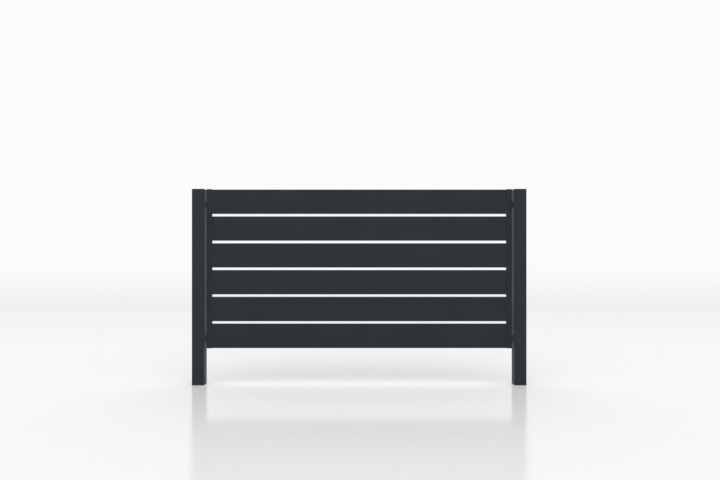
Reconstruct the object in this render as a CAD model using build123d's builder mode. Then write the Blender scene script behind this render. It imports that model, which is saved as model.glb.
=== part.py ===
"""Fence panel of six wide aluminium slats, fixed between two square posts.

The origin is the middle of the left post's foot, at ground level.
X runs along the fence to the right post, Y from the front to the rear, Z up.
All sizes are in millimetres.
"""

import os

from build123d import *

# Posts: square tube, closed by flat caps
POST_SIDE = 80.0
POST_WALL = 2.0
POST_CORNER = 2.0
CLEAR_WIDTH = 2056.0  # between the inner faces of the two posts

# Slats: hollow boards with an open slot between neighbours
SLAT_COUNT = 6
SLAT_HEIGHT = 162.0
SLAT_GAP = 17.0
SLAT_THICKNESS = 20.0
SLAT_WALL = 1.4
SLAT_EDGE = 1.0
SLAT_WEBS = 2
SLAT_END_GAP = 4.0  # room for the slat to grow in the sun
GROUND_CLEARANCE = 242.0  # from the ground to the lowest slat

# Stiles: upright channels that hold the slat ends
STILE_WIDTH = 34.0
STILE_WALL = 2.0
STILE_CORNER = 1.0
STILE_TO_POST = 11.0
SEAT_CLEARANCE = 0.3

# Spacers: moulded blocks in the channels, one between every two slats
SPACER_RECESS = 1.0
SPACER_WALL = 2.0

# Caps on the posts, caps and feet on the stiles
POST_CAP_THICKNESS = 2.0
STILE_CAP_THICKNESS = 2.8
STILE_FOOT_THICKNESS = 1.5
CAP_BEVEL = 0.6
CAP_SEAM = 0.3
PLUG_LENGTH = 15.0
PLUG_WALL = 2.0

# Mounting blocks between the posts and the stiles
BLOCK_HEIGHT = 40.0
BLOCK_DEPTH = 74.0  # on the post, tapering to the stile's depth
BLOCK_LAND = 2.5  # straight edge before the taper
BLOCK_EDGE = 0.8
BLOCK_DROP = 20.0  # below the middle of the slat beside it
SCREW_DIAMETER = 5.0
SCREW_SPACING = 22.0
HOLE_CLEARANCE = 0.25

# Places that follow from the sizes above
SLAT_PITCH = SLAT_HEIGHT + SLAT_GAP
PANEL_HEIGHT = SLAT_COUNT * SLAT_PITCH - SLAT_GAP
PANEL_TOP = GROUND_CLEARANCE + PANEL_HEIGHT
POST_INNER = POST_SIDE / 2
MIDDLE_X = POST_INNER + CLEAR_WIDTH / 2
MIRROR_PLANE = Plane.YZ.offset(MIDDLE_X)
STILE_OUTER = POST_INNER + STILE_TO_POST
STILE_WEB = STILE_OUTER + STILE_WALL
STILE_MOUTH = STILE_OUTER + STILE_WIDTH
POCKET_DEPTH = SLAT_THICKNESS + 2 * SEAT_CLEARANCE
STILE_DEPTH = POCKET_DEPTH + 2 * STILE_WALL
SLAT_END = STILE_WEB + SLAT_END_GAP
SLAT_LEVELS = [PANEL_TOP - SLAT_HEIGHT - i * SLAT_PITCH for i in range(SLAT_COUNT)]
BLOCK_LEVELS = {
    "upper": SLAT_LEVELS[0] + SLAT_HEIGHT / 2 - BLOCK_DROP,
    "lower": SLAT_LEVELS[-1] + SLAT_HEIGHT / 2 - BLOCK_DROP,
}
HOLE_RADIUS = SCREW_DIAMETER / 2 + HOLE_CLEARANCE


def span(start, end):
    """Middle and length of the stretch between two places."""
    return (start + end) / 2, end - start


def finish(part, name):
    """Labels a piece and writes it to its own file."""
    part.label = name
    export_step(part, f"parts/{name}.step")


def finish_pair(part, name):
    """Writes a left piece and its mirror image on the right."""
    finish(mirror(part, about=MIRROR_PLANE), name.format(side="right"))
    finish(part, name.format(side="left"))


def make_posts():
    """Square tubes from the ground to the top of the panel."""
    with BuildPart() as post:
        with BuildSketch():
            RectangleRounded(POST_SIDE, POST_SIDE, POST_CORNER)
            inside = POST_SIDE - 2 * POST_WALL
            Rectangle(inside, inside, mode=Mode.SUBTRACT)
        extrude(amount=PANEL_TOP)
    finish_pair(post.part, "{side}_post")


def bevel_lid(cap, up):
    """Breaks a lid's outer edge, and its inner one to leave a fine seam on the tube."""
    outer, inner = (-1, 0) if up > 0 else (0, -1)
    chamfer(cap.faces().sort_by(Axis.Z)[outer].edges(), CAP_BEVEL)
    chamfer(cap.faces().sort_by(Axis.Z)[inner].edges(), CAP_SEAM)


def make_post_caps():
    """Flat lids on the posts, each with a hollow plug inside the tube."""
    plug = POST_SIDE - 2 * (POST_WALL + SEAT_CLEARANCE)
    with BuildPart() as cap:
        with BuildSketch(Plane.XY.offset(PANEL_TOP)):
            RectangleRounded(POST_SIDE, POST_SIDE, POST_CORNER)
        extrude(amount=POST_CAP_THICKNESS)
        bevel_lid(cap, up=1)
        with BuildSketch(Plane.XY.offset(PANEL_TOP)):
            Rectangle(plug, plug)
            Rectangle(plug - 2 * PLUG_WALL, plug - 2 * PLUG_WALL, mode=Mode.SUBTRACT)
        extrude(amount=-PLUG_LENGTH)
    finish_pair(cap.part, "{side}_post_cap")


def make_stiles():
    """Upright channels, open to the slats, with screw holes at the mounting blocks."""
    stile_x, stile_width = span(STILE_OUTER, STILE_MOUTH)
    pocket_x, pocket_width = span(STILE_WEB, STILE_MOUTH)
    with BuildPart() as stile:
        with BuildSketch(Plane.XY.offset(GROUND_CLEARANCE)):
            with Locations((stile_x, 0)):
                RectangleRounded(stile_width, STILE_DEPTH, STILE_CORNER)
            with Locations((pocket_x, 0)):
                Rectangle(pocket_width, POCKET_DEPTH, mode=Mode.SUBTRACT)
        extrude(amount=PANEL_HEIGHT)
        with BuildSketch(Plane.YZ.offset(STILE_OUTER)):
            screw_holes()
        extrude(amount=STILE_WALL, mode=Mode.SUBTRACT)
    finish_pair(stile.part, "{side}_stile")


def screw_holes():
    """Two round holes, one above the other, at each mounting block."""
    with Locations(*[(0, z) for z in BLOCK_LEVELS.values()]):
        with GridLocations(SCREW_SPACING, SCREW_SPACING, 1, 2):
            Circle(HOLE_RADIUS)


def stile_lid(level, thickness, up):
    """Flat lid on one end of a stile, with a tongue between the web and the slat end."""
    lid_x, lid_width = span(STILE_OUTER, STILE_MOUTH)
    tongue_x, tongue_width = span(STILE_WEB + SEAT_CLEARANCE, SLAT_END - SEAT_CLEARANCE)
    with BuildPart() as lid:
        with BuildSketch(Plane.XY.offset(level)):
            with Locations((lid_x, 0)):
                RectangleRounded(lid_width, STILE_DEPTH, STILE_CORNER)
        extrude(amount=up * thickness)
        bevel_lid(lid, up)
        with BuildSketch(Plane.XY.offset(level)):
            with Locations((tongue_x, 0)):
                Rectangle(tongue_width, SLAT_THICKNESS)
        extrude(amount=-up * PLUG_LENGTH)
    return lid.part


def make_stile_lids():
    """Caps that close the stiles at the top, and feet that carry the lowest slat."""
    finish_pair(stile_lid(PANEL_TOP, STILE_CAP_THICKNESS, up=1), "{side}_stile_cap")
    finish_pair(stile_lid(GROUND_CLEARANCE, STILE_FOOT_THICKNESS, up=-1), "{side}_stile_foot")


def make_slats():
    """Hollow boards with inner webs, their ends held in the two channels."""
    cell = (SLAT_HEIGHT - (SLAT_WEBS + 2) * SLAT_WALL) / (SLAT_WEBS + 1)
    for number, level in enumerate(SLAT_LEVELS, start=1):
        with BuildPart() as slat:
            with BuildSketch(Plane.YZ.offset(SLAT_END)):
                with Locations((0, level + SLAT_HEIGHT / 2)):
                    RectangleRounded(SLAT_THICKNESS, SLAT_HEIGHT, SLAT_EDGE)
                    with GridLocations(SLAT_THICKNESS, cell + SLAT_WALL, 1, SLAT_WEBS + 1):
                        Rectangle(SLAT_THICKNESS - 2 * SLAT_WALL, cell, mode=Mode.SUBTRACT)
            extrude(amount=2 * (MIDDLE_X - SLAT_END))
        finish(slat.part, f"slat_{number}")


def make_spacers():
    """Blocks that hold the slats apart, hollowed from the side of the web."""
    front = STILE_MOUTH - SPACER_RECESS
    for number, level in enumerate(SLAT_LEVELS[:-1], start=1):
        with BuildPart() as spacer:
            with BuildSketch(Plane.YZ.offset(front)):
                with Locations((0, level - SLAT_GAP / 2)):
                    Rectangle(SLAT_THICKNESS, SLAT_GAP)
            extrude(amount=SLAT_END - front)
            with BuildSketch(Plane.YZ.offset(SLAT_END)):
                with Locations((0, level - SLAT_GAP / 2)):
                    Rectangle(SLAT_THICKNESS - 2 * SPACER_WALL, SLAT_GAP - 2 * SPACER_WALL)
            extrude(amount=front - SPACER_WALL - SLAT_END, mode=Mode.SUBTRACT)
        finish_pair(spacer.part, f"{{side}}_spacer_{number}")


def make_blocks():
    """Tapered blocks that fill the gap between a post and a stile, bored for two screws."""
    outline = [
        (POST_INNER, -BLOCK_DEPTH / 2),
        (POST_INNER + BLOCK_LAND, -BLOCK_DEPTH / 2),
        (STILE_OUTER, -STILE_DEPTH / 2),
        (STILE_OUTER, STILE_DEPTH / 2),
        (POST_INNER + BLOCK_LAND, BLOCK_DEPTH / 2),
        (POST_INNER, BLOCK_DEPTH / 2),
    ]
    for level, z in BLOCK_LEVELS.items():
        with BuildPart() as block:
            with BuildSketch(Plane.XY.offset(z)):
                with BuildLine():
                    Polyline(outline, close=True)
                make_face()
            extrude(amount=BLOCK_HEIGHT / 2, both=True)
            fillet(block.faces().filter_by(Axis.Z).edges(), BLOCK_EDGE)
            with BuildSketch(Plane.YZ.offset(POST_INNER)):
                screw_holes()
            extrude(amount=STILE_TO_POST, mode=Mode.SUBTRACT)
        finish_pair(block.part, level + "_{side}_block")


os.makedirs("parts", exist_ok=True)
make_posts()
make_post_caps()
make_stiles()
make_stile_lids()
make_slats()
make_spacers()
make_blocks()
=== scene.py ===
# %% [markdown]
# # A slatted fence panel, dressed for the studio
#
# The frame is the imported CAD model: two posts, two channel stiles, six hollow
# slats, and the spacers, caps and blocks between them. The pieces could be
# modelled once more here, but every size in the CAD is already right, so its
# meshes stay. This lesson adds what CAD leaves out: the coat of powder, the
# screws, the light and the camera.

# %% Load the frame
import bpy
import bmesh
import math
from mathutils import Matrix, Vector


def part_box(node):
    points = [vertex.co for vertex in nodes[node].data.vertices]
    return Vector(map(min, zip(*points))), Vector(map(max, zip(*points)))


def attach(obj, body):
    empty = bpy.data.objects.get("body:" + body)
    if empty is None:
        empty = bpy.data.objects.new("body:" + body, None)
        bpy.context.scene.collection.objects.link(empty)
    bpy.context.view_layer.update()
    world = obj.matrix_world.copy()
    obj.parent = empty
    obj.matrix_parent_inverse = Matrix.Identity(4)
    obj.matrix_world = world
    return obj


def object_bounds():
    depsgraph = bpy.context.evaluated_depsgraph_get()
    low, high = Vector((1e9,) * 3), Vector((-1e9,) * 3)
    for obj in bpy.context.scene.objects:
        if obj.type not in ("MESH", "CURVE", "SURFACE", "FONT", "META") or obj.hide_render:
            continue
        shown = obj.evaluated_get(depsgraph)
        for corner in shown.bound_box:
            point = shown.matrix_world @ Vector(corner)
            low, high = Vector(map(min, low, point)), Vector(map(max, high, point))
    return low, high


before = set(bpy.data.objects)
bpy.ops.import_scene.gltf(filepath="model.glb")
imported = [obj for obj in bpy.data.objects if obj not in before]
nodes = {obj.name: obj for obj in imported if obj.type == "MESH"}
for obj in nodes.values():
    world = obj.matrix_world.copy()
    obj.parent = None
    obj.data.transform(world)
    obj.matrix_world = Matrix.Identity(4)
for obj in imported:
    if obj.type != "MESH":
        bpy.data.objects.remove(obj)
cad_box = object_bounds()
scene = bpy.context.scene
scene.view_settings.view_transform = "Standard"
MM = 0.001
print("frame:", len(nodes), "nodes, box", [list(corner) for corner in cad_box])

# %% [markdown]
# ## Camera
#
# The photograph looks straight at the panel from about the height of a chest.
# A tilted camera could frame it too, but then the posts would lean towards
# each other. In the photograph they stay parallel, so the camera is level, and
# a small lens shift frames the picture. The focal length comes from how much
# smaller the post's rear edge looks than its front edge.

# %% Camera
CAMERA_PLACE = (1.0734, -4.355, 0.896)
LEVEL_DEGREES = 90
FOCAL_MM = 32.59
HORIZON_DROP_PX = 10.0
FRAME_WIDTH_PX = 720

camera_data = bpy.data.cameras.new("camera")
camera_data.lens = FOCAL_MM
camera_data.shift_y = HORIZON_DROP_PX / FRAME_WIDTH_PX
camera = bpy.data.objects.new("camera", camera_data)
camera.location = CAMERA_PLACE
camera.rotation_euler = (math.radians(LEVEL_DEGREES), 0, 0)
scene.collection.objects.link(camera)
scene.camera = camera
print("camera:", CAMERA_PLACE, "lens", FOCAL_MM, "mm")

# %% [markdown]
# ## Colours and nodes
#
# Colours are picked as sRGB hex values, because that is how paint charts give
# them, and shaders need them linear. One function turns the first into the
# second. Another adds any node with its settings and links, so that each
# material below reads as a list of what it is made of.

# %% Helpers for colours and nodes
def linear(hex_colour):
    """An sRGB hex colour such as "#33383B" as linear red, green, blue and alpha."""
    # The numbers are those of the sRGB standard
    channels = [int(hex_colour[i:i + 2], 16) / 255 for i in (1, 3, 5)]
    return [c / 12.92 if c <= 0.04045 else ((c + 0.055) / 1.055) ** 2.4 for c in channels] + [1.0]


def add_node(tree, kind, inputs=None, **settings):
    """Adds a node. An input is a plain value, or the output socket that feeds it."""
    node = tree.nodes.new(kind)
    for name, value in settings.items():
        setattr(node, name, value)
    for name, value in (inputs or {}).items():
        if isinstance(value, bpy.types.NodeSocket):
            tree.links.new(value, node.inputs[name])
        else:
            node.inputs[name].default_value = value
    return node


def new_material(name):
    """An empty material with its output, ready for a shader."""
    material = bpy.data.materials.new(name)
    material.use_nodes = True
    material.node_tree.nodes.clear()
    output = add_node(material.node_tree, "ShaderNodeOutputMaterial")
    return material, material.node_tree, output


print("helpers ready, anthracite is", [round(c, 4) for c in linear("#33383B")])

# %% [markdown]
# ## Light
#
# A pale world gives the even light of the room. Four broad suns stand for the
# soft boxes, a pair over the camera's shoulders and a pair behind the panel.
# They leave a soft shadow on each side of its foot and a bright line between
# the two, as in the photograph. Area lamps could stand for the soft boxes too,
# but they fade with distance. A sun lights the whole floor alike, and its wide
# angle softens the shadow's edge.

# %% World
WORLD_LIGHT = 0.785
WORLD_SEEN = 1.0  # plain white


def seen_by_camera(tree):
    """1 for rays from the camera, a mirror or glass, and 0 for rays that gather light."""
    path = add_node(tree, "ShaderNodeLightPath")
    direct = add_node(tree, "ShaderNodeMath", {
        0: path.outputs["Is Camera Ray"], 1: path.outputs["Is Glossy Ray"]}, operation="MAXIMUM")
    seen = add_node(tree, "ShaderNodeMath", {
        0: direct.outputs[0], 1: path.outputs["Is Transmission Ray"]}, operation="MAXIMUM")
    return seen.outputs[0]


world = bpy.data.worlds.new("white_room")
world.use_nodes = True
world.node_tree.nodes.clear()
scene.world = world
strength = add_node(world.node_tree, "ShaderNodeMix", {
    0: seen_by_camera(world.node_tree), 2: WORLD_LIGHT, 3: WORLD_SEEN}, data_type="FLOAT")
background = add_node(world.node_tree, "ShaderNodeBackground", {
    "Color": linear("#FFFFFF"), "Strength": strength.outputs[0]})
add_node(world.node_tree, "ShaderNodeOutputWorld", {"Surface": background.outputs[0]})
print("world: gives", WORLD_LIGHT, "and is seen as", WORLD_SEEN)

# %% Suns
SUN_TURN = 32  # degrees to either side of the panel's middle
SUN_WIDTH = 56  # degrees that each sun takes up in the sky
FRONT_HEIGHT, FRONT_POWER = 46, 0.34  # degrees above the floor, watts per square metre
REAR_HEIGHT, REAR_POWER = 46, 0.40
OVERHEAD, BEHIND = 90, 180

SUNS = (
    ("front_left_sun", -SUN_TURN, FRONT_HEIGHT, FRONT_POWER),
    ("front_right_sun", SUN_TURN, FRONT_HEIGHT, FRONT_POWER),
    ("rear_left_sun", BEHIND + SUN_TURN, REAR_HEIGHT, REAR_POWER),
    ("rear_right_sun", BEHIND - SUN_TURN, REAR_HEIGHT, REAR_POWER),
)
for name, turn, height, power in SUNS:
    lamp = bpy.data.lights.new(name, "SUN")
    lamp.energy = power
    lamp.angle = math.radians(SUN_WIDTH)
    sun = bpy.data.objects.new(name, lamp)
    sun.rotation_euler = (math.radians(OVERHEAD - height), 0, math.radians(turn))
    scene.collection.objects.link(sun)
print("suns:", len(SUNS), "at", SUN_TURN, "degrees to either side")

# %% [markdown]
# ## Studio
#
# The photograph was made in a white room: a glossy pale floor and a pale wall
# five metres behind the panel, with a soft dark line where the two meet. One
# curved sheet could make both, but it would lose that line, so they are two
# flat sheets. The floor is a real lit surface, so that it keeps the shadow and
# mirrors the posts. The wall only has to look white, so the camera sees an
# even glow on it that lights nothing, and the dark line is painted shade that
# darkens the glow towards the floor.

# %% Floor and wall finishes
FLOOR_COLOUR = "#F9F9F9"
FLOOR_ROUGHNESS = 0.15
FLOOR_SPECULAR = 0.25  # half of a full varnish, for a faint mirror image
WALL_COLOUR = "#FBFBFB"
# Painted shade: the wall's colour at its foot, darker where it meets the floor
WALL_PAINTED_SHADE_COLOUR = "#EFEFEF"
PAINTED_SHADE_HEIGHT = 0.75  # metres of painted shade, from the floor up to the wall's full white

# Varnish on white: a pale mirror image of the posts, soft at its edges
floor_paint, tree, output = new_material("varnished_floor")
paint = add_node(tree, "ShaderNodeBsdfPrincipled", {
    "Base Color": linear(FLOOR_COLOUR), "Roughness": FLOOR_ROUGHNESS,
    "Specular IOR Level": FLOOR_SPECULAR})
tree.links.new(paint.outputs["BSDF"], output.inputs["Surface"])

# Wall paint: an even white glow, with painted shade that darkens it a little towards the floor
wall_paint, tree, output = new_material("painted_wall")
place = add_node(tree, "ShaderNodeTexCoord")
height = add_node(tree, "ShaderNodeSeparateXYZ", {0: place.outputs["Object"]})
painted_shade_ramp = add_node(tree, "ShaderNodeMapRange", {
    "Value": height.outputs["Z"], "From Max": PAINTED_SHADE_HEIGHT}, interpolation_type="SMOOTHSTEP")
colour = add_node(tree, "ShaderNodeMix", {
    0: painted_shade_ramp.outputs["Result"], 6: linear(WALL_PAINTED_SHADE_COLOUR), 7: linear(WALL_COLOUR)},
    data_type="RGBA")
glow = add_node(tree, "ShaderNodeEmission", {"Color": colour.outputs[2]})
paint = add_node(tree, "ShaderNodeBsdfDiffuse", {"Color": linear(WALL_COLOUR)})
wall = add_node(tree, "ShaderNodeMixShader", {
    0: seen_by_camera(tree), 1: paint.outputs[0], 2: glow.outputs[0]})
tree.links.new(wall.outputs[0], output.inputs["Surface"])
print("studio finishes:", floor_paint.name, wall_paint.name)

# %% Floor and wall
STUDIO_HALF_WIDTH = 30.0
FLOOR_FRONT = -30.0
WALL_PLACE = 5.05
WALL_HEIGHT = 14.0
MIDDLE_X = sum(corner[0] for corner in cad_box) / 2
LEFT_END = MIDDLE_X - STUDIO_HALF_WIDTH
RIGHT_END = MIDDLE_X + STUDIO_HALF_WIDTH


def studio_sheet(name, corners, material):
    """One flat sheet of the studio."""
    mesh = bpy.data.meshes.new(name)
    shape = bmesh.new()
    shape.faces.new([shape.verts.new(corner) for corner in corners])
    shape.to_mesh(mesh)
    shape.free()
    mesh.materials.append(material)
    sheet = bpy.data.objects.new(name, mesh)
    scene.collection.objects.link(sheet)


studio_sheet("floor", [
    (LEFT_END, FLOOR_FRONT, 0), (RIGHT_END, FLOOR_FRONT, 0),
    (RIGHT_END, WALL_PLACE, 0), (LEFT_END, WALL_PLACE, 0)], floor_paint)
studio_sheet("wall", [
    (LEFT_END, WALL_PLACE, 0), (RIGHT_END, WALL_PLACE, 0),
    (RIGHT_END, WALL_PLACE, WALL_HEIGHT), (LEFT_END, WALL_PLACE, WALL_HEIGHT)], wall_paint)
print("studio: wall", WALL_PLACE, "m behind the posts")

# %% [markdown]
# ## Edges
#
# A coat pulls thin on a sharp edge, a mould leaves a paler line there, and a
# driver rubs the paint off; on the powder coat the lighter edge is partly a
# painted highlight. Pointiness could find the edges, but it needs a
# dense mesh, and a CAD mesh has a few long triangles. The Bevel node works on
# any mesh. It rounds the normal near an edge, so there is an edge wherever the
# rounded normal leaves the true one.

# %% Edge mask
BEVEL_SAMPLES = 6
FLAT_AGREEMENT, SHARP_AGREEMENT = 0.98, 0.8


def edge_mask(tree, radius_mm):
    """1 on a sharp edge and 0 on a flat face, from how far the two normals agree."""
    rounded = add_node(tree, "ShaderNodeBevel", {"Radius": radius_mm * MM}, samples=BEVEL_SAMPLES)
    true = add_node(tree, "ShaderNodeNewGeometry")
    agree = add_node(tree, "ShaderNodeVectorMath", {
        0: rounded.outputs["Normal"], 1: true.outputs["Normal"]}, operation="DOT_PRODUCT")
    mask = add_node(tree, "ShaderNodeMapRange", {
        "Value": agree.outputs["Value"], "From Min": FLAT_AGREEMENT, "From Max": SHARP_AGREEMENT})
    return mask.outputs["Result"]


print("edge mask: starts at", FLAT_AGREEMENT, "and is full at", SHARP_AGREEMENT)

# %% [markdown]
# ## Powder coat
#
# Posts, slats, channels, lids and blocks carry a polyester powder, sprayed dry
# and baked. It dries as a matt skin with a fine leathery grain, pulls a little
# thin on sharp edges, and lets the faint die lines of the extrusion show. The
# edges are drawn lighter, partly for the thin coat and partly as a painted
# highlight. One noise could stand for all of it, but each has its own size, so
# each gets its own: a slow drift of tone and gloss, a grain in the tone and the
# bump, streaks stretched along the extrusion, and the edge mask.

# %% Powder coat material
NOISE_RANGE = {"From Min": 0.3, "From Max": 0.7}  # nearly all of a noise lies in it
DRIFT_MM, DRIFT_DETAIL = 260, 3.0  # about as wide as a spray gun's fan
DRIFT_TONE, DRIFT_ROUGHNESS = 0.06, 0.04
GRAIN_MM = 1.2  # about three times the real grain, which is too fine for any render to show
FINE_DETAIL = 2.0
GRAIN_TONE, GRAIN_BUMP, GRAIN_DEPTH_MM = 0.14, 0.6, 0.25
DIE_LINE_LENGTH_MM, DIE_LINE_WIDTH_MM = 900, 2.5
DIE_LINE_TONE, DIE_LINE_BUMP, DIE_LINE_DEPTH_MM = 0.03, 0.3, 0.1
# Edge lightening: partly the coat's thin edge, partly a painted highlight
EDGE_MM, EDGE_THIN_COAT_AND_HIGHLIGHT = 2.0, 0.9
COAT_ROUGHNESS = 0.5  # typical for a matt powder
COAT_SPECULAR = 0.18  # low, because the leathery skin scatters most of its gloss
ALONG_X, ALONG_Z, CAST = (1, 0, 0), (0, 0, 1), None


def powder_coat(name, colour, run):
    """Matt polyester powder on metal: soft sheen, fine grain, edges lighter from a thin coat and a
    painted highlight.
    """
    material, tree, output = new_material(name)
    place = add_node(tree, "ShaderNodeTexCoord").outputs["Object"]
    # The powder lies a little thicker here and thinner there
    drift = add_node(tree, "ShaderNodeTexNoise", {
        "Vector": place, "Scale": 1 / (DRIFT_MM * MM), "Detail": DRIFT_DETAIL})
    tone = add_node(tree, "ShaderNodeMapRange", {
        "Value": drift.outputs["Fac"], **NOISE_RANGE,
        "To Min": 1 - DRIFT_TONE, "To Max": 1 + DRIFT_TONE})
    gloss = add_node(tree, "ShaderNodeMapRange", {
        "Value": drift.outputs["Fac"], **NOISE_RANGE,
        "To Min": COAT_ROUGHNESS - DRIFT_ROUGHNESS, "To Max": COAT_ROUGHNESS + DRIFT_ROUGHNESS})
    # Its grains melt into a leathery skin
    grain = add_node(tree, "ShaderNodeTexNoise", {
        "Vector": place, "Scale": 1 / (GRAIN_MM * MM), "Detail": FINE_DETAIL})
    speck = add_node(tree, "ShaderNodeMapRange", {
        "Value": grain.outputs["Fac"], **NOISE_RANGE,
        "To Min": 1 - GRAIN_TONE, "To Max": 1 + GRAIN_TONE})
    relief = add_node(tree, "ShaderNodeBump", {
        "Height": grain.outputs["Fac"], "Strength": GRAIN_BUMP, "Distance": GRAIN_DEPTH_MM * MM})
    tone = add_node(tree, "ShaderNodeMath", {
        0: tone.outputs["Result"], 1: speck.outputs["Result"]}, operation="MULTIPLY")
    # The die left fine lines along an extruded piece
    if run:
        stretch = [1 / ((DIE_LINE_LENGTH_MM if along else DIE_LINE_WIDTH_MM) * MM) for along in run]
        lengthwise = add_node(tree, "ShaderNodeMapping", {"Vector": place, "Scale": stretch})
        die_lines = add_node(tree, "ShaderNodeTexNoise", {
            "Vector": lengthwise.outputs["Vector"], "Scale": 1.0, "Detail": FINE_DETAIL})
        streak = add_node(tree, "ShaderNodeMapRange", {
            "Value": die_lines.outputs["Fac"], **NOISE_RANGE,
            "To Min": 1 - DIE_LINE_TONE, "To Max": 1 + DIE_LINE_TONE})
        tone = add_node(tree, "ShaderNodeMath", {
            0: tone.outputs[0], 1: streak.outputs["Result"]}, operation="MULTIPLY")
        relief = add_node(tree, "ShaderNodeBump", {
            "Height": die_lines.outputs["Fac"], "Strength": DIE_LINE_BUMP,
            "Distance": DIE_LINE_DEPTH_MM * MM, "Normal": relief.outputs["Normal"]})
    # Sharp edges are lighter, partly where the coat pulls thin and partly as a painted highlight
    thin_coat_and_highlight = add_node(tree, "ShaderNodeMath", {
        0: edge_mask(tree, EDGE_MM), 1: EDGE_THIN_COAT_AND_HIGHLIGHT, 2: 1.0}, operation="MULTIPLY_ADD")
    tone = add_node(tree, "ShaderNodeMath", {
        0: tone.outputs[0], 1: thin_coat_and_highlight.outputs[0]}, operation="MULTIPLY")
    base = add_node(tree, "ShaderNodeMix", {
        "Factor": 1.0, 6: linear(colour), 7: tone.outputs[0]},
        data_type="RGBA", blend_type="MULTIPLY")
    shader = add_node(tree, "ShaderNodeBsdfPrincipled", {
        "Base Color": base.outputs[2], "Roughness": gloss.outputs["Result"],
        "Specular IOR Level": COAT_SPECULAR, "Normal": relief.outputs["Normal"]})
    tree.links.new(shader.outputs["BSDF"], output.inputs["Surface"])
    return material


print("powder coat: grain", GRAIN_MM, "mm, roughness about", COAT_ROUGHNESS)

# %% Coats for the pieces
post_coat = powder_coat("powder_coated_aluminium_post", "#292D30", ALONG_Z)
slat_coat = powder_coat("powder_coated_aluminium_slat", "#282C30", ALONG_X)
stile_coat = powder_coat("powder_coated_aluminium_stile", "#292D31", ALONG_Z)
lid_coat = powder_coat("powder_coated_aluminium_lid", "#292D30", CAST)
# The blocks' coat is painted lighter than the others: painted light that lifts them out of the
# shade of the narrow gap they sit in
lightened_block_coat = powder_coat("powder_coated_aluminium_block_painted_lighter", "#394042", CAST)
COATS = (post_coat, slat_coat, stile_coat, lid_coat, lightened_block_coat)
print("powder coats:", [coat.name for coat in COATS])

# %% [markdown]
# ## Moulded spacers
#
# The spacers are nylon from a mould with a spark-eroded skin, so they are
# nearly black and dull, with a pebbled skin and a paler edge where the two
# halves of the mould met. A plain black would do for the little that shows in
# a slot, but it would look like a hole close up. One fine noise gives both the
# bump and the dull sheen, because the same pebbles make both.

# %% Moulded nylon material
NYLON_COLOUR, FLASH_COLOUR = "#1B1D1E", "#2E3031"
PEBBLE_MM = 0.8  # about four times the real pebbles, which are too fine to show
PEBBLE_BUMP, PEBBLE_DEPTH_MM = 0.3, 0.05
NYLON_ROUGHNESS = {"To Min": 0.62, "To Max": 0.78}
FLASH_MM = 0.6

# Moulded nylon: black without shine, alive only where light grazes the pebbles
moulded_nylon, tree, output = new_material("moulded_nylon")
place = add_node(tree, "ShaderNodeTexCoord")
skin = add_node(tree, "ShaderNodeTexNoise", {
    "Vector": place.outputs["Object"], "Scale": 1 / (PEBBLE_MM * MM), "Detail": FINE_DETAIL})
relief = add_node(tree, "ShaderNodeBump", {
    "Height": skin.outputs["Fac"], "Strength": PEBBLE_BUMP, "Distance": PEBBLE_DEPTH_MM * MM})
sheen = add_node(tree, "ShaderNodeMapRange", {
    "Value": skin.outputs["Fac"], **NOISE_RANGE, **NYLON_ROUGHNESS})
colour = add_node(tree, "ShaderNodeMix", {
    0: edge_mask(tree, FLASH_MM), 6: linear(NYLON_COLOUR), 7: linear(FLASH_COLOUR)},
    data_type="RGBA")
shader = add_node(tree, "ShaderNodeBsdfPrincipled", {
    "Base Color": colour.outputs[2], "Roughness": sheen.outputs["Result"],
    "Normal": relief.outputs["Normal"]})
tree.links.new(shader.outputs["BSDF"], output.inputs["Surface"])
print("nylon:", moulded_nylon.name, "with pebbles of", PEBBLE_MM, "mm")

# %% [markdown]
# ## Finishes on the CAD pieces
#
# Each CAD piece needs one finish. They could be listed one by one, but a
# piece's name says what it is, so the first word that fits picks its finish.
# Lids come before posts and channels, because their names hold both words.

# %% Give every CAD piece its finish
FINISHES = (
    ("cap", lid_coat), ("foot", lid_coat), ("post", post_coat), ("stile", stile_coat),
    ("slat", slat_coat), ("block", lightened_block_coat), ("spacer", moulded_nylon),
)
for name, piece in nodes.items():
    finish = next(material for word, material in FINISHES if word in name)
    piece.data.materials.clear()
    piece.data.materials.append(finish)
print("finishes set on", len(nodes), "pieces")

# %% [markdown]
# ## Screw steel
#
# The screws are zinc-plated steel with heads sprayed to match the panel. The
# paint is thinner and smoother than the powder, and the driver rubs it off the
# edges of head and socket, where the plating shows. A dark metal could stand
# for both, but paint doesn't mirror as metal does. So the shader is paint, and
# it turns to metal only where the edge mask and a fine noise say it is worn.

# %% Painted screw material
PAINT_COLOUR, ZINC_COLOUR = "#2E3335", "#A9ABA8"
PAINT_ROUGHNESS = {"To Min": 0.3, "To Max": 0.42}
RUB_MM = 0.9  # patches of worn paint
SCREW_EDGE_MM = 0.25

# Painted zinc plating: smooth and dark, with a bright broken line round each edge
screw_paint, tree, output = new_material("painted_zinc_plated_steel")
place = add_node(tree, "ShaderNodeTexCoord")
rub = add_node(tree, "ShaderNodeTexNoise", {
    "Vector": place.outputs["Object"], "Scale": 1 / (RUB_MM * MM), "Detail": FINE_DETAIL})
worn = add_node(tree, "ShaderNodeMath", {
    0: edge_mask(tree, SCREW_EDGE_MM), 1: rub.outputs["Fac"]}, operation="MULTIPLY")
colour = add_node(tree, "ShaderNodeMix", {
    0: worn.outputs[0], 6: linear(PAINT_COLOUR), 7: linear(ZINC_COLOUR)}, data_type="RGBA")
sheen = add_node(tree, "ShaderNodeMapRange", {
    "Value": rub.outputs["Fac"], **NOISE_RANGE, **PAINT_ROUGHNESS})
shader = add_node(tree, "ShaderNodeBsdfPrincipled", {
    "Base Color": colour.outputs[2], "Metallic": worn.outputs[0],
    "Roughness": sheen.outputs["Result"]})
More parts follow.
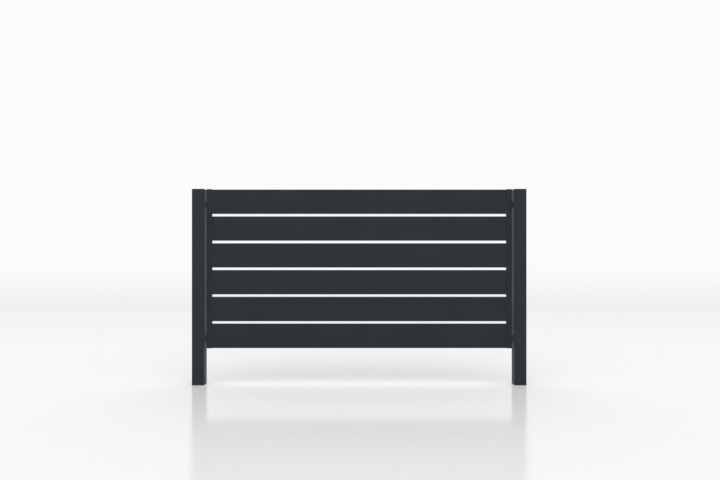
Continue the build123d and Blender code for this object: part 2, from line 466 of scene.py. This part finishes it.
tree.links.new(shader.outputs["BSDF"], output.inputs["Surface"])
print("screw finish:", screw_paint.name)

# %% [markdown]
# ## Screws
#
# One screw through the rear flange holds each slat end, out of sight from the
# front. Two more run through the channel's web and each block into the post,
# with their low heads in the gap behind the slat ends. A profile spun round
# its axis could make one, but a real screw is pressed, so the mesh follows
# that: a disc is the collar, and the head and the shank are drawn out of its
# two ends by inset and extrude. All sizes are in millimetres until the mesh is
# placed.

# %% Draw out a round end
SCREW_SIDES = 24


def end_face(shape, side):
    """The round end of a turned shape: the top one for 1, the bottom one for -1."""
    ends = [face for face in shape.faces if len(face.verts) == SCREW_SIDES]
    return max(ends, key=lambda face: side * face.calc_center_median().z)


def grow(shape, side, inset, rise):
    """Narrows a round end by an inset, then draws it out along the axis."""
    face = end_face(shape, side)
    if inset:
        bmesh.ops.inset_region(shape, faces=[face], thickness=inset)
    drawn = bmesh.ops.extrude_face_region(shape, geom=[face])["geom"]
    bmesh.ops.delete(shape, geom=[face], context="FACES_ONLY")
    corners = [item for item in drawn if isinstance(item, bmesh.types.BMVert)]
    bmesh.ops.translate(shape, verts=corners, vec=(0, 0, rise))
    return corners


print("round ends have", SCREW_SIDES, "sides")

# %% [markdown]
# The thread is rolled into the shank, which leaves a ridge that winds round
# it. A stack of rings would look alike from afar, but wouldn't climb. Spin
# takes a step along its axis too, so it turns a small triangle into a helix.

# %% Wind the thread
CORE_SHARE = 0.72  # of the screw's radius, under the thread
PITCH_SHARE = 1 / 3  # of the screw's diameter, from ridge to ridge
RIDGE_SHARE = 0.6  # of the pitch, across the ridge's foot
TURN_STEPS = 12
RIDGE_CORNERS = 3


def wind_thread(shape, diameter, length):
    """A right-handed ridge round the shank: a triangle, spun down it as a helix."""
    pitch = diameter * PITCH_SHARE
    ridge = pitch * RIDGE_SHARE
    root, crest = diameter / 2 * CORE_SHARE, diameter / 2
    corners = [shape.verts.new(place) for place in (
        (root, 0, -ridge / 2), (crest, 0, -ridge), (root, 0, -ridge * 3 / 2))]
    rim = [shape.edges.new(pair) for pair in zip(corners, corners[1:] + corners[:1])]
    turns = int(length / pitch)
    bmesh.ops.spin(shape, geom=corners + rim, cent=(0, 0, 0), axis=(0, 0, 1),
                   angle=-turns * math.tau, dvec=(0, 0, -pitch / TURN_STEPS),
                   steps=turns * TURN_STEPS)
    open_ends = [edge for edge in shape.edges if edge.is_boundary]
    bmesh.ops.holes_fill(shape, edges=open_ends, sides=RIDGE_CORNERS)


print("thread:", TURN_STEPS, "steps to a turn")

# %% [markdown]
# The head is domed by a bevel, and its six-lobed socket is pressed in. A cutter
# and a boolean could make the socket, but they leave ragged triangles. Here an
# inset ring is pushed into six lobes and then drawn down.

# %% Make one screw
COLLAR_RADIUS, COLLAR_HEIGHT = 4.6, 0.6
HEAD_RADIUS, HEAD_HEIGHT = 3.7, 1.8
HEAD_ROUND, HEAD_SEGMENTS = 1.1, 4
SOCKET_RADIUS, SOCKET_DEPTH = 1.5, 1.2
SOCKET_LOBES, LOBE_SHARE = 6, 0.14
TIP_LENGTH, TIP_SHARE = 4.0, 0.15
SMOOTH_DEGREES = 35


def press_socket(shape):
    """A six-lobed socket in the middle of the head."""
    bmesh.ops.inset_region(shape, faces=[end_face(shape, 1)],
                           thickness=HEAD_RADIUS - HEAD_ROUND - SOCKET_RADIUS)
    for corner in end_face(shape, 1).verts:
        lobe = 1 + LOBE_SHARE * math.cos(SOCKET_LOBES * math.atan2(corner.co.y, corner.co.x))
        corner.co.xy = corner.co.xy * lobe
    grow(shape, 1, 0, -SOCKET_DEPTH)


def make_screw(name, seat, axis, diameter, length):
    """A screw with its collar on the seat and its head towards the axis."""
    shape = bmesh.new()
    bmesh.ops.create_cone(shape, cap_ends=True, segments=SCREW_SIDES, depth=COLLAR_HEIGHT,
                          radius1=COLLAR_RADIUS, radius2=COLLAR_RADIUS)
    bmesh.ops.translate(shape, verts=shape.verts, vec=(0, 0, COLLAR_HEIGHT / 2))
    grow(shape, -1, COLLAR_RADIUS - diameter / 2 * CORE_SHARE, -length)
    tip = grow(shape, -1, 0, -TIP_LENGTH)
    bmesh.ops.scale(shape, vec=(TIP_SHARE, TIP_SHARE, 1), verts=tip)
    grow(shape, 1, COLLAR_RADIUS - HEAD_RADIUS, HEAD_HEIGHT)
    bmesh.ops.bevel(shape, geom=list(end_face(shape, 1).edges), offset=HEAD_ROUND,
                    segments=HEAD_SEGMENTS, profile=0.5, affect="EDGES", material=-1)
    press_socket(shape)
    wind_thread(shape, diameter, length)
    bmesh.ops.recalc_face_normals(shape, faces=shape.faces)
    turn = Vector((0, 0, 1)).rotation_difference(Vector(axis)).to_matrix().to_4x4()
    place = Matrix.Translation(seat) @ turn @ Matrix.Scale(MM, 4)
    bmesh.ops.transform(shape, matrix=place, verts=shape.verts)
    mesh = bpy.data.meshes.new(name)
    shape.to_mesh(mesh)
    shape.free()
    mesh.shade_smooth()
    mesh.set_sharp_from_angle(angle=math.radians(SMOOTH_DEGREES))
    mesh.materials.append(screw_paint)
    screw = bpy.data.objects.new(name, mesh)
    scene.collection.objects.link(screw)
    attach(screw, "root")
    return screw


print("screw head:", HEAD_RADIUS * 2, "mm across,", HEAD_HEIGHT, "mm high")

# %% Screws in the rear flanges and the blocks
SLAT_COUNT = sum(name.startswith("slat_") for name in nodes)
FLANGE_SCREW_INSET = 20 * MM  # from the channel's outer face
SLAT_SCREW_MM, SLAT_SCREW_LENGTH_MM = 4.2, 9
WEB = 2 * MM  # the channel's thickness behind the screw heads
BLOCK_SCREW_MM, BLOCK_SCREW_LENGTH_MM = 5, 21
BLOCK_SCREW_SPACING = 22 * MM

screws = []
for side, inward in (("left", 1), ("right", -1)):
    low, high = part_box(side + "_stile")
    outer = low[0] if inward > 0 else high[0]
    for number in range(1, SLAT_COUNT + 1):
        slat_low, slat_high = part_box(f"slat_{number}")
        seat = (outer + inward * FLANGE_SCREW_INSET, high[1], (slat_low[2] + slat_high[2]) / 2)
        screws.append(make_screw(f"{side}_slat_screw_{number}", seat, (0, 1, 0),
                                 SLAT_SCREW_MM, SLAT_SCREW_LENGTH_MM))
    for level in ("upper", "lower"):
        block_low, block_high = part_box(f"{level}_{side}_block")
        middle = (block_low[2] + block_high[2]) / 2
        for number, rise in ((1, BLOCK_SCREW_SPACING / 2), (2, -BLOCK_SCREW_SPACING / 2)):
            seat = (outer + inward * WEB, 0, middle + rise)
            screws.append(make_screw(f"{level}_{side}_block_screw_{number}", seat, (inward, 0, 0),
                                     BLOCK_SCREW_MM, BLOCK_SCREW_LENGTH_MM))
print("screws:", len(screws), "with", sum(len(screw.data.polygons) for screw in screws), "faces")

# %% [markdown]
# ## End

# %% Finish
print("done")
